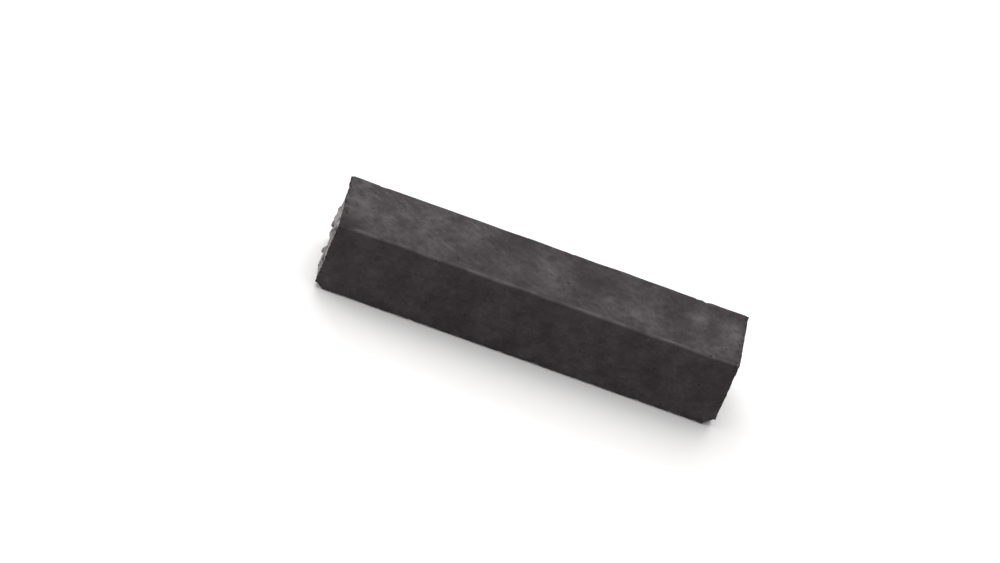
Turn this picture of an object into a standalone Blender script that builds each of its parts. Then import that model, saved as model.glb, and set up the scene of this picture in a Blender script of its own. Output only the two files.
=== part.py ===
"""A coconut charcoal briquette: a square bar of pressed charcoal with a round flue hole along its middle.

The bar lies on one of its long faces. X runs along it, Y across it and Z up, and the origin is the middle of
the face that it rests on. Sizes are in metres. Both ends are broken off and not cut, so they are crumbly.
"""

import math
import random

import bmesh
import bpy
from mathutils import Vector, noise

MM = 0.001

# Driving dimensions of the bar
LENGTH = 226.0 * MM
SIDE = 45.0 * MM
FLUE_RADIUS = 5.6 * MM
FLUE_SIDES = 28

# Loops cut into the block, and how far they crowd towards its edges (0 is even, 1 is the most)
CUTS_ALONG = 103
CUTS_ACROSS = 29
CROWD_ALONG = 0.5
CROWD_ACROSS = 0.3
# How far the crossings of the loops are shaken within their faces, so that breaks don't follow the grid
SHAKE = 0.55 * MM
SHAKE_GRAIN = 1.7 * MM

# Wear along the four long edges: a flat that grows and shrinks along the bar
WEAR_WIDTH = 0.9 * MM
WEAR_SWING = 0.5 * MM
WEAR_WAVELENGTH = 17.0 * MM

# The broken ends: how far a break's relief reaches back along the sides
BREAK_REACH = 15.0 * MM
# A break's relief: broad waves, lumps, chunks that stand at different heights and slopes, the crevices that
# have opened between some of them, and a crumbled mouth round the flue
BROAD_WAVELENGTH = 30.0 * MM
LUMP_WAVELENGTH = 9.0 * MM
CHUNK_SIZE = 7.5 * MM
CHUNK_WARP = 0.6
CHUNK_SHARPNESS = 8.0
CREVICE_WAVELENGTH = 11.0 * MM
MOUTH_REACH = 3.0 * MM
LEFT_BREAK = {
    "seed": 3.0,
    "sink": 1.0 * MM,
    "broad": 1.3 * MM,
    "lump": 1.3 * MM,
    "chunk": 2.0 * MM,
    "slope": 2.8 * MM,
    "crevice": 1.7 * MM,
    "mouth": 1.6 * MM,
    "rim_reach": 4.0 * MM,
}
RIGHT_BREAK = {
    "seed": 11.0,
    "sink": 0.9 * MM,
    "broad": 0.8 * MM,
    "lump": 1.0 * MM,
    "chunk": 1.7 * MM,
    "slope": 2.4 * MM,
    "crevice": 1.5 * MM,
    "mouth": 1.3 * MM,
    "rim_reach": 9.0 * MM,
}
# The top and near rims of both ends are straight: only this share of the relief is there, and more inwards
RIM_SHARE = 0.12
# A lump stands no prouder than this
MOST_PROUD = 0.3 * MM
# Broad hollows in the ends: which end, place in half sides, reach and depth
HOLLOWS = (
    (-1, 0.90, 0.72, 9.0 * MM, 2.6 * MM),
    (-1, 0.95, -0.95, 5.0 * MM, 0.8 * MM),
    (-1, -0.30, -1.00, 7.0 * MM, -0.9 * MM),
    (1, 0.65, -0.35, 9.0 * MM, 1.5 * MM),
)

# Corners that have broken off: place in half lengths and half sides, the way out, ball radius and depth
CORNER_BITES = (
    ((1.0, -1.0, -1.0), (1.0, -0.8, -1.0), 14.0 * MM, 4.6 * MM),
    ((1.0, 1.0, -1.0), (1.0, 0.9, -0.6), 13.0 * MM, 5.6 * MM),
    ((1.0, 0.55, -1.0), (1.0, 0.2, -1.0), 7.0 * MM, 3.0 * MM),
    ((-1.0, -1.0, -1.0), (-0.6, -0.7, -1.0), 14.0 * MM, 3.6 * MM),
    ((-1.0, 1.0, 1.0), (-1.0, 1.0, 0.3), 9.0 * MM, 1.8 * MM),
    ((-1.0, 1.0, -1.0), (-0.8, 1.0, -1.0), 11.0 * MM, 2.6 * MM),
)

# Small bites out of the long edges, placed by a seeded draw
EDGE_BITES = 34
EDGE_BITE_RADIUS = (3.0 * MM, 8.0 * MM)
EDGE_BITE_DEPTH = (0.5 * MM, 1.3 * MM)
# The near top edge has kept its line, so its bites have this share of their depth
KEPT_EDGE_SHARE = 0.6
# Small bites out of the hidden rims of the two ends
RIM_BITES = 16
# Pits in the broken ends: which end, place in half sides, ball radius and depth
PITS = (
    (-1, -0.42, 0.38, 3.2 * MM, 3.2 * MM),
    (-1, -0.50, -0.42, 3.8 * MM, 3.0 * MM),
    (-1, 0.48, -0.30, 2.8 * MM, 2.2 * MM),
    (-1, 0.15, 0.70, 3.0 * MM, 1.8 * MM),
    (1, 0.45, 0.42, 3.4 * MM, 2.8 * MM),
    (1, -0.40, -0.45, 3.0 * MM, 2.6 * MM),
    (1, -0.55, 0.30, 2.6 * MM, 1.8 * MM),
    (1, 0.10, -0.68, 3.2 * MM, 2.2 * MM),
)
BITE_SEED = 47
BITE_ROUGHNESS = 0.11
BITE_GRAIN = 4.5 * MM
PIT_ROUGHNESS = 0.45
PIT_GRAIN = 3.0 * MM

# Where the three parts of a vector of noise are read
VECTOR_NOISE_PLACES = ((-7.2, 6.9, 5.2), (-4.8, -0.1, -1.0), (3.0, 5.7, -8.0))

# Neighbouring faces this close to one plane are made one
FLAT_ANGLE = math.radians(0.2)

CHARCOAL_COLOUR = (0.034, 0.030, 0.031, 1.0)
CHARCOAL_ROUGHNESS = 0.8


def clear_scene():
    """Removes what the scene starts with."""
    for obj in list(bpy.data.objects):
        bpy.data.objects.remove(obj)


def new_collection(name):
    """An empty collection of that name, linked to the scene."""
    collection = bpy.data.collections.new(name)
    bpy.context.scene.collection.children.link(collection)
    return collection


def charcoal_material():
    """Matt black charcoal."""
    material = bpy.data.materials.new("charcoal")
    material.use_nodes = True
    shader = material.node_tree.nodes["Principled BSDF"]
    shader.inputs["Base Color"].default_value = CHARCOAL_COLOUR
    shader.inputs["Roughness"].default_value = CHARCOAL_ROUGHNESS
    shader.inputs["Metallic"].default_value = 0.0
    return material


def vector_noise(point):
    """Three noises as one vector, the same in every run, unlike noise.noise_vector, which the clock seeds."""
    return Vector([noise.noise(point + Vector(place)) for place in VECTOR_NOISE_PLACES])


def crowded(share, crowd):
    """Moves a coordinate between -1 and 1 towards the nearer end, so that loops crowd there."""
    return share + crowd * (math.sin(share * math.pi / 2) - share)


def block_with_loops():
    """A closed block of the bar's size, its faces cut into a grid that is finest near the edges."""
    block = bmesh.new()
    bmesh.ops.create_cube(block, size=2.0)
    for axis, cuts in enumerate((CUTS_ALONG, CUTS_ACROSS, CUTS_ACROSS)):
        parallel = [e for e in block.edges if abs((e.verts[0].co - e.verts[1].co)[axis]) > 1e-6]
        bmesh.ops.subdivide_edges(block, edges=parallel, cuts=cuts, use_grid_fill=True)
    for vertex in block.verts:
        x, y, z = vertex.co
        vertex.co = Vector(
            (
                crowded(x, CROWD_ALONG) * LENGTH / 2,
                crowded(y, CROWD_ACROSS) * SIDE / 2,
                crowded(z, CROWD_ACROSS) * SIDE / 2,
            )
        )
    return block


def cut_flue(obj, cutters):
    """Cuts the flue hole along the bar's middle, and applies the cut."""
    bpy.ops.mesh.primitive_cylinder_add(
        vertices=FLUE_SIDES, radius=FLUE_RADIUS, depth=LENGTH * 1.2, rotation=(0, math.pi / 2, 0)
    )
    cutter = bpy.context.object
    cutter.name = "flue_cutter"
    cutter.hide_render = True
    cutter.display_type = "WIRE"
    for owner in list(cutter.users_collection):
        owner.objects.unlink(cutter)
    cutters.objects.link(cutter)
    flue = obj.modifiers.new("flue", "BOOLEAN")
    flue.operation = "DIFFERENCE"
    flue.solver = "EXACT"
    flue.object = cutter
    bpy.context.view_layer.update()
    graph = bpy.context.evaluated_depsgraph_get()
    bored = bpy.data.meshes.new_from_object(obj.evaluated_get(graph))
    obj.modifiers.remove(flue)
    obj.data = bored


def shake_crossings(block):
    """Moves the crossings of the loops a little, those of an edge along it and those of a face within it."""
    half_sizes = (LENGTH / 2, SIDE / 2, SIDE / 2)
    for vertex in block.verts:
        shift = vector_noise(vertex.co / SHAKE_GRAIN) * SHAKE
        for axis, half_size in enumerate(half_sizes):
            if half_size - abs(vertex.co[axis]) > 0.01 * MM:
                room = min(half_size - abs(vertex.co[axis]), SHAKE)
                vertex.co[axis] += max(-room, min(room, shift[axis])) * 0.9


def break_relief(y, z, end):
    """How far a broken end stands back from its nominal plane, at a point of that plane."""
    kind = LEFT_BREAK if end < 0 else RIGHT_BREAK
    point = Vector((y, z, 0.0))
    offset = Vector((0.0, 0.0, kind["seed"]))
    broad = noise.noise(point / BROAD_WAVELENGTH + offset)
    lump = noise.noise(point / LUMP_WAVELENGTH + offset)
    warped = point / CHUNK_SIZE + CHUNK_WARP * vector_noise(point / LUMP_WAVELENGTH - offset) + offset
    distances, centres = noise.voronoi(warped)
    chunk = noise.noise(centres[0] * 2.3)
    slope = (warped - centres[0]).dot(vector_noise(centres[0] * 1.7))
    opened = min(1.0, max(0.0, 0.35 + 1.6 * noise.noise(point / CREVICE_WAVELENGTH - offset)))
    crevice = opened * math.exp(-CHUNK_SHARPNESS * (distances[1] - distances[0]))
    mouth = math.exp(-max(math.hypot(y, z) - FLUE_RADIUS, 0.0) / MOUTH_REACH)
    relief = kind["sink"] + kind["broad"] * broad + kind["lump"] * lump + kind["chunk"] * chunk
    relief += kind["slope"] * slope + kind["crevice"] * crevice + kind["mouth"] * mouth
    for which, across, up, reach, depth in HOLLOWS:
        if which == end:
            away = math.hypot(y - across * SIDE / 2, z - up * SIDE / 2)
            relief += depth * math.exp(-((away / reach) ** 2))
    relief = max(relief, -MOST_PROUD)
    from_rim = max(0.0, min(SIDE / 2 - z, SIDE / 2 + y))
    return relief * (RIM_SHARE + (1.0 - RIM_SHARE) * min(1.0, from_rim / kind["rim_reach"]))


def break_ends(bar):
    """Gives both ends their broken relief, which fades out along the sides."""
    for vertex in bar.verts:
        x, y, z = vertex.co
        from_end = LENGTH / 2 - abs(x)
        if from_end >= BREAK_REACH:
            continue
        fade = 1.0 - from_end / BREAK_REACH
        end = -1 if x < 0 else 1
        vertex.co.x -= end * break_relief(y, z, end) * fade * fade


def wear_long_edges(bar):
    """Flattens the four long edges a little, more in some places than in others."""
    for vertex in bar.verts:
        x, y, z = vertex.co
        which = Vector((0.0, math.copysign(7.0, y), math.copysign(13.0, z)))
        swing = noise.noise(Vector((x / WEAR_WAVELENGTH, 0.0, 0.0)) + which)
        over = abs(y) + abs(z) - (SIDE - WEAR_WIDTH - WEAR_SWING * swing)
        if over > 0:
            vertex.co.y -= math.copysign(over / 2, y)
            vertex.co.z -= math.copysign(over / 2, z)


def bite(bar, centre, radius, roughness, wavelength):
    """Presses the surface back onto a rough ball, as where a piece has broken away."""
    for vertex in bar.verts:
        away = vertex.co - centre
        if away.length > radius * (1 + roughness):
            continue
        grain = noise.noise(vertex.co / wavelength)
        reach = radius * (1 + roughness * grain)
        if away.length < reach:
            vertex.co = centre + away.normalized() * reach


def bite_at(bar, place, outwards, radius, depth, roughness=BITE_ROUGHNESS, wavelength=BITE_GRAIN):
    """Bites depth deep into the surface at a place, with a ball that comes in against outwards."""
    bite(bar, place + outwards.normalized() * (radius - depth), radius, roughness, wavelength)


def bite_corners(bar):
    """Breaks off the corners that are missing."""
    for (along, across, up), outwards, radius, depth in CORNER_BITES:
        place = Vector((along * LENGTH / 2, across * SIDE / 2, up * SIDE / 2))
        bite_at(bar, place, Vector(outwards), radius, depth)


def bite_edges(bar, draw):
    """Takes small bites out of the long edges and out of the rims of the ends."""
    half = SIDE / 2
    for _ in range(EDGE_BITES):
        across, up = draw.choice((-1, 1)), draw.choice((-1, 1))
        place = Vector((draw.uniform(-0.97, 0.97) * LENGTH / 2, across * half, up * half))
        radius, depth = draw.uniform(*EDGE_BITE_RADIUS), draw.uniform(*EDGE_BITE_DEPTH)
        if (across, up) == (-1, 1):
            depth *= KEPT_EDGE_SHARE
        bite_at(bar, place, Vector((0.0, across, up)), radius, depth)
    for _ in range(RIM_BITES):
        end, share = draw.choice((-1, 1)), draw.uniform(-0.9, 0.9)
        across, up = (1, share) if draw.random() < 0.5 else (share, -1)
        outwards = Vector((end, across if across == 1 else 0, up if up == -1 else 0))
        place = Vector((end * LENGTH / 2, across * half, up * half))
        radius, depth = draw.uniform(*EDGE_BITE_RADIUS), draw.uniform(*EDGE_BITE_DEPTH)
        bite_at(bar, place, outwards, radius, depth)


def bite_pits(bar):
    """Pits the broken ends, as where a lump has dropped out."""
    for end, across, up, radius, depth in PITS:
        y, z = across * SIDE / 2, up * SIDE / 2
        place = Vector((end * (LENGTH / 2 - break_relief(y, z, end)), y, z))
        bite_at(bar, place, Vector((end, 0.0, 0.0)), radius, depth, PIT_ROUGHNESS, PIT_GRAIN)


def rest_on_origin(bar):
    """Moves the bar so that its box is centred over the origin and its lowest face lies at z = 0."""
    lowest = Vector([min(v.co[axis] for v in bar.verts) for axis in range(3)])
    highest = Vector([max(v.co[axis] for v in bar.verts) for axis in range(3)])
    middle = (lowest + highest) / 2
    bmesh.ops.translate(bar, verts=bar.verts[:], vec=Vector((-middle.x, -middle.y, -lowest.z)))


def build_briquette():
    """Builds the briquette as one closed solid."""
    model = new_collection("coconut_charcoal_briquette")
    cutters = new_collection("cutters")
    cutters.hide_render = True

    block = block_with_loops()
    shake_crossings(block)
    mesh = bpy.data.meshes.new("briquette")
    block.to_mesh(mesh)
    block.free()
    briquette = bpy.data.objects.new("briquette", mesh)
    model.objects.link(briquette)
    cut_flue(briquette, cutters)

    bar = bmesh.new()
    bar.from_mesh(briquette.data)
    break_ends(bar)
    wear_long_edges(bar)
    bite_corners(bar)
    bite_edges(bar, random.Random(BITE_SEED))
    bite_pits(bar)
    rest_on_origin(bar)
    bmesh.ops.dissolve_limit(bar, angle_limit=FLAT_ANGLE, verts=bar.verts[:], edges=bar.edges[:])
    bmesh.ops.triangulate(bar, faces=bar.faces[:])
    bmesh.ops.recalc_face_normals(bar, faces=bar.faces[:])
    bar.to_mesh(briquette.data)
    bar.free()
    briquette.data.materials.clear()
    briquette.data.materials.append(charcoal_material())


clear_scene()
build_briquette()
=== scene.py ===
"""Looks for a coconut charcoal briquette: a square bar of pressed charcoal with a flue hole along its middle.

The bar lies on one of its long faces, X along it, Y across it and Z up. Its skin left the press smooth, and
has ash dust on it, worn edges and chips. Both ends are broken, with crumbs, pits and crevices. Sizes are in
metres.
"""

import logging
import math
import random
from dataclasses import dataclass, field
from enum import Enum

import bmesh
import bpy
from mathutils import Matrix, Vector, kdtree, noise

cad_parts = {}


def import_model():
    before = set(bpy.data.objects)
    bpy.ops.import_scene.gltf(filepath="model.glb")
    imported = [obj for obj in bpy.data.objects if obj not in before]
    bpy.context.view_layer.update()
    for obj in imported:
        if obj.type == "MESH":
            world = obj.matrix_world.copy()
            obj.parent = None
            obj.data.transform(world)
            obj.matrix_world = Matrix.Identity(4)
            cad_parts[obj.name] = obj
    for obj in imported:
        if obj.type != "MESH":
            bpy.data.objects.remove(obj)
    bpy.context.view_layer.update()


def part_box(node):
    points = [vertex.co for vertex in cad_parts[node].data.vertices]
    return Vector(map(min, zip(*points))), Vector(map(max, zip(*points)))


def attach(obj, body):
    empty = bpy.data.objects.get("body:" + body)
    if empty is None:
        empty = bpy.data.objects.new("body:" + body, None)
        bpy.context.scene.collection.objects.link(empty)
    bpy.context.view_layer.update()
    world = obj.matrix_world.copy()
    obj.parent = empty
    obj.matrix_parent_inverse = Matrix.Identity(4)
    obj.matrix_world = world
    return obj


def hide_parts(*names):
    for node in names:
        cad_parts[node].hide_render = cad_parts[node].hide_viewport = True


log = logging.getLogger("coconut_charcoal_briquette")

MM = 0.001
# Where the three parts of a vector of noise are read, as in the solid
VECTOR_NOISE_PLACES = ((-7.2, 6.9, 5.2), (-4.8, -0.1, -1.0), (3.0, 5.7, -8.0))
# On the bar's frame of two units each way, a shorter step counts as none, and what lies further out is skin
NO_STEP = 1e-6
SKIN_REACH = 0.99
# What a curve is divided by is no shorter than this
SHORTEST = 1e-9


class End(Enum):
    """One of the bar's two ends, by the sign of its X."""

    LEFT = -1
    RIGHT = 1


class Zone(Enum):
    """What a face of the bar is, by the index of its material."""

    SKIN = 0
    BREAK = 1
    FLUE = 2


def linear(hex_colour: str) -> tuple[float, float, float, float]:
    """Turns an sRGB hex colour into Blender's linear values.

    Args:
        hex_colour: Six hex digits, with or without a leading hash.

    Returns:
        Red, green, blue and an alpha of 1.
    """
    digits = hex_colour.lstrip("#")
    shares = [int(digits[at : at + 2], 16) / 255 for at in (0, 2, 4)]
    red, green, blue = (s / 12.92 if s <= 0.04045 else ((s + 0.055) / 1.055) ** 2.4 for s in shares)
    return red, green, blue, 1.0


def per_metre(size_mm: float) -> float:
    """The Scale of a noise or cell pattern whose features are size_mm across on Object coordinates."""
    return 1.0 / (size_mm * MM)


def smooth_step(low: float, high: float, value: float) -> float:
    """Goes from 0 at low to 1 at high, level at both."""
    share = min(1.0, max(0.0, (value - low) / (high - low)))
    return share * share * (3.0 - 2.0 * share)


def vector_noise(point: Vector) -> Vector:
    """Three noises as one vector, the same in every run, unlike noise.noise_vector, which the clock seeds."""
    return Vector([noise.noise(point + Vector(place)) for place in VECTOR_NOISE_PLACES])


def direction(azimuth: float, elevation: float) -> Vector:
    """The way from the bar to a place, in degrees. Azimuth 0 is in front of it and 90 to its right."""
    turn, rise = math.radians(azimuth), math.radians(elevation)
    return Vector((math.sin(turn) * math.cos(rise), -math.cos(turn) * math.cos(rise), math.sin(rise)))


def add_object(name: str, data: bpy.types.ID) -> bpy.types.Object:
    """Makes an object of a mesh, a light or a camera, and puts it in the scene.

    Args:
        name: The object's name.
        data: The mesh, light or camera.

    Returns:
        The object, at the origin.
    """
    added = bpy.data.objects.new(name, data)
    bpy.context.scene.collection.objects.link(added)
    return added


def feed(node: bpy.types.Node, inputs: dict[int | str, object]) -> None:
    """Links the inputs of a node that are given an output, and sets the others.

    Args:
        node: The node.
        inputs: An output or a constant for each input, by its index or name.
    """
    for key, given in inputs.items():
        if isinstance(given, bpy.types.NodeSocket):
            node.id_data.links.new(given, node.inputs[key])
        else:
            node.inputs[key].default_value = given


def add_node(
    tree: bpy.types.NodeTree,
    kind: str,
    output: int | str,
    inputs: dict[int | str, object] | None = None,
    **settings: object,
) -> bpy.types.NodeSocket:
    """Adds a node to a tree with its settings and links.

    A Mix of colours has its share at input 0, its colours at inputs 6 and 7, and its result at output 2.

    Args:
        tree: The tree that the node goes into.
        kind: The node's type after ShaderNode, such as TexNoise.
        output: The index or name of the output that is wanted.
        inputs: An output or a constant for each input, by its index or name.
        settings: The node's own properties.

    Returns:
        The new node's output.
    """
    node = tree.nodes.new(f"ShaderNode{kind}")
    for name, setting in settings.items():
        setattr(node, name, setting)
    feed(node, inputs or {})
    return node.outputs[output]


def new_material(name: str) -> tuple[bpy.types.Material, bpy.types.NodeTree, bpy.types.Node]:
    """Makes a material with nothing in it but its shader and output.

    Args:
        name: The material's name.

    Returns:
        The material, its node tree and its Principled shader.
    """
    material = bpy.data.materials.new(name)
    material.use_nodes = True
    tree = material.node_tree
    return material, tree, tree.nodes["Principled BSDF"]


@dataclass(frozen=True)
class Pattern:
    """A noise whose features are size_mm across."""

    size_mm: float
    detail: float
    roughness: float = 0.5

    def on(self, place: bpy.types.NodeSocket) -> dict[str, object]:
        """The inputs of a node that draws this noise on a place."""
        scale = per_metre(self.size_mm)
        return {"Vector": place, "Scale": scale, "Detail": self.detail, "Roughness": self.roughness}


@dataclass(frozen=True)
class Ramp:
    """How much a pattern counts: from start, where it is low or less, to end, where it is high or more."""

    low: float
    high: float
    start: float = 0.0
    end: float = 1.0

    def of(self, pattern: bpy.types.NodeSocket) -> dict[str, object]:
        """The inputs of a node that weighs a pattern this way."""
        span = {"From Min": self.low, "From Max": self.high, "To Min": self.start, "To Max": self.end}
        return {"Value": pattern, **span}


@dataclass(frozen=True)
class PressedSkin:
    """The skin that the press leaves on coconut charcoal.

    Coconut-shell charcoal powder with a starch binder, forced through a square die and baked. The die drags
    it smooth, so it is a dense dark grey with a dull gloss, and ash dust lies on it in clouds.
    """

    name: str = "pressed coconut charcoal"
    body: str = "#332E30"
    dark: str = "#2C2829"
    ash: str = "#585455"
    # The colour of the painted shade in the pores
    pore_shade: str = "#221F20"
    chipped_dark: str = "#2A2627"
    chipped_light: str = "#484243"
    # Rubbed edges and proud bumps: worn grey with a painted highlight
    rubbed_and_highlit: str = "#5C5657"
    roughness: float = 0.85
    dusty_roughness: float = 0.95
    ior: float = 1.5
    specular: float = 0.12

    cloud: Pattern = Pattern(13.0, detail=3.0)
    mottle: Pattern = Pattern(4.0, detail=5.0, roughness=0.65)
    speck: Pattern = Pattern(1.5, detail=2.0)
    # Charcoal powder is sieved to about 0.3 mm, too fine to show, so its grain is drawn at 0.7 mm
    grain: Pattern = Pattern(0.7, detail=2.0, roughness=0.6)
    # The die's drag lines are 0.8 mm apart and many times as long
    drag: Pattern = Pattern(0.8, detail=3.0, roughness=0.55)
    drag_stretch: float = 0.03
    # Scuffs, where bars have rubbed on each other: about 1 mm wide, 6 times as long, and slanting
    scuff: Pattern = Pattern(1.6, detail=2.0, roughness=0.4)
    scuff_stretch: float = 6.0
    scuff_slant: float = -0.5
    # Pores of about a millimetre, where steam left the paste, in some of the cells of this size, painted dark
    # as the shade in them
    pore_spacing_mm: float = 3.6
    pore_there: Ramp = Ramp(0.6, 0.95)
    pore_dot: Ramp = Ramp(0.08, 0.2, 1.0, 0.0)

    # The bare skin goes from dark to body with the mottling
    shade: Ramp = Ramp(0.36, 0.64)
    # Ash shows in the clouds, which the mottling breaks up, and in the specks and scuffs
    clouded: Ramp = Ramp(0.33, 0.68, 0.32, 1.0)
    broken: Ramp = Ramp(0.32, 0.68, 0.55, 1.2)
    specked: Ramp = Ramp(0.58, 0.72, 0.0, 0.45)
    scuffed: Ramp = Ramp(0.62, 0.72, 0.0, 0.5)
    # The rubbed edges, with their painted highlight, come and go with the clouds, and the chips are crumbly
    rub_breaks: Ramp = Ramp(0.43, 0.6, 0.45, 1.2)
    crumbly: Ramp = Ramp(0.4, 0.62)

    # The relief's heights, in shares of its depth: the grain and the mottling have the whole of it
    drag_height: float = 0.5
    pore_height: float = -2.0
    bump_depth: float = 0.065 * MM

    def material(self) -> bpy.types.Material:
        """Builds the skin's material.

        Returns:
            The material. It reads the bar's attributes for ash dust, whose extra on the top also paints part
            of its brighter light, for rubbed edges and bumps, partly a painted highlight, and for chips.
        """
        material, tree, shader = new_material(self.name)
        place = add_node(tree, "TexCoord", "Object")
        dust_and_top_light = add_node(tree, "Attribute", "Fac", attribute_name="dust_and_top_light")
        rubbed_and_highlit = add_node(tree, "Attribute", "Fac", attribute_name="rubbed_and_highlit")
        chipped = add_node(tree, "Attribute", "Fac", attribute_name="chipped")

        cloud = add_node(tree, "TexNoise", "Fac", self.cloud.on(place))
        mottle = add_node(tree, "TexNoise", "Fac", self.mottle.on(place))
        speck = add_node(tree, "TexNoise", "Fac", self.speck.on(place))
        grain = add_node(tree, "TexNoise", "Fac", self.grain.on(place))
        stretch = {"Vector": place, "Scale": (self.drag_stretch, 1.0, 1.0)}
        along = add_node(tree, "Mapping", "Vector", stretch)
        drag = add_node(tree, "TexNoise", "Fac", self.drag.on(along))
        stretch = {"Vector": place, "Scale": (self.scuff_stretch, 1.0, 1.0)}
        stretch["Rotation"] = (0.0, 0.0, self.scuff_slant)
        slanting = add_node(tree, "Mapping", "Vector", stretch, vector_type="TEXTURE")
        scuff = add_node(tree, "TexNoise", "Fac", self.scuff.on(slanting))

        # Pores: a dot in the middle of each cell whose own colour draws one, painted dark as the shade in a
        # pore
        cells = {"Vector": place, "Scale": per_metre(self.pore_spacing_mm)}
        cell_colour = add_node(tree, "TexVoronoi", "Color", cells)
        away = cell_colour.node.outputs["Distance"]
        drawn = add_node(tree, "SeparateColor", 0, {0: cell_colour})
        there = add_node(tree, "MapRange", "Result", self.pore_there.of(drawn))
        dot = add_node(tree, "MapRange", "Result", self.pore_dot.of(away), interpolation_type="SMOOTHSTEP")
        pores = add_node(tree, "Math", 0, {0: there, 1: dot}, operation="MULTIPLY")

        # How much ash shows, moved up or down by the dust attribute, whose extra on the top also paints part
        # of the top's brighter light
        patch = add_node(tree, "MapRange", "Result", self.clouded.of(cloud), interpolation_type="SMOOTHSTEP")
        broken = add_node(tree, "MapRange", "Result", self.broken.of(mottle))
        patches = add_node(tree, "Math", 0, {0: patch, 1: broken}, operation="MULTIPLY")
        specks = add_node(tree, "MapRange", "Result", self.specked.of(speck))
        specked = add_node(tree, "Math", 0, {0: patches, 1: specks}, operation="ADD")
        scuffs = add_node(tree, "MapRange", "Result", self.scuffed.of(scuff))
        scuffed = add_node(tree, "Math", 0, {0: specked, 1: scuffs}, operation="ADD")
        ash = add_node(tree, "Math", 0, {0: scuffed, 1: dust_and_top_light}, operation="MULTIPLY", use_clamp=True)

        shade = add_node(tree, "MapRange", "Result", self.shade.of(mottle))
        tones = {0: shade, 6: linear(self.dark), 7: linear(self.body)}
        bare = add_node(tree, "Mix", 2, tones, data_type="RGBA")
        dusted = add_node(tree, "Mix", 2, {0: ash, 6: bare, 7: linear(self.ash)}, data_type="RGBA")
        pore_shaded = add_node(tree, "Mix", 2, {0: pores, 6: dusted, 7: linear(self.pore_shade)}, data_type="RGBA")

        # Rubbed edges are greyer, partly wear and partly a painted highlight, in breaks, and chips show the
        # matt inside
        breaks = add_node(tree, "MapRange", "Result", self.rub_breaks.of(cloud))
        rub_and_highlight = add_node(tree, "Math", 0, {0: rubbed_and_highlit, 1: breaks}, operation="MULTIPLY", use_clamp=True)
        worn_and_highlit = add_node(tree, "Mix", 2, {0: rub_and_highlight, 6: pore_shaded, 7: linear(self.rubbed_and_highlit)}, data_type="RGBA")
        crumbly = add_node(tree, "MapRange", "Result", self.crumbly.of(speck))
        tones = {0: crumbly, 6: linear(self.chipped_dark), 7: linear(self.chipped_light)}
        inside = add_node(tree, "Mix", 2, tones, data_type="RGBA")
        colour = add_node(tree, "Mix", 2, {0: chipped, 6: worn_and_highlit, 7: inside}, data_type="RGBA")

        dusty = add_node(tree, "Math", 0, {0: ash, 1: chipped}, operation="MAXIMUM")
        dulling = Ramp(0.0, 1.0, self.roughness, self.dusty_roughness)
        roughness = add_node(tree, "MapRange", "Result", dulling.of(dusty))

        # Relief: drag lines, the powder's grain and the mottling, with the pores sunk into it
        relief = add_node(tree, "Math", 0, {0: drag, 1: self.drag_height}, operation="MULTIPLY")
        for height in (grain, mottle):
            relief = add_node(tree, "Math", 0, {0: relief, 1: height}, operation="ADD")
        sinking = {0: pores, 1: self.pore_height, 2: relief}
        pitted = add_node(tree, "Math", 0, sinking, operation="MULTIPLY_ADD")
        bump = {"Height": pitted, "Distance": self.bump_depth}
        inputs = {
            "Base Color": colour,
            "Roughness": roughness,
            "IOR": self.ior,
            "Specular IOR Level": self.specular,
            "Metallic": 0.0,
            "Normal": add_node(tree, "Bump", "Normal", bump),
        }
        feed(shader, inputs)
        return material


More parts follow.
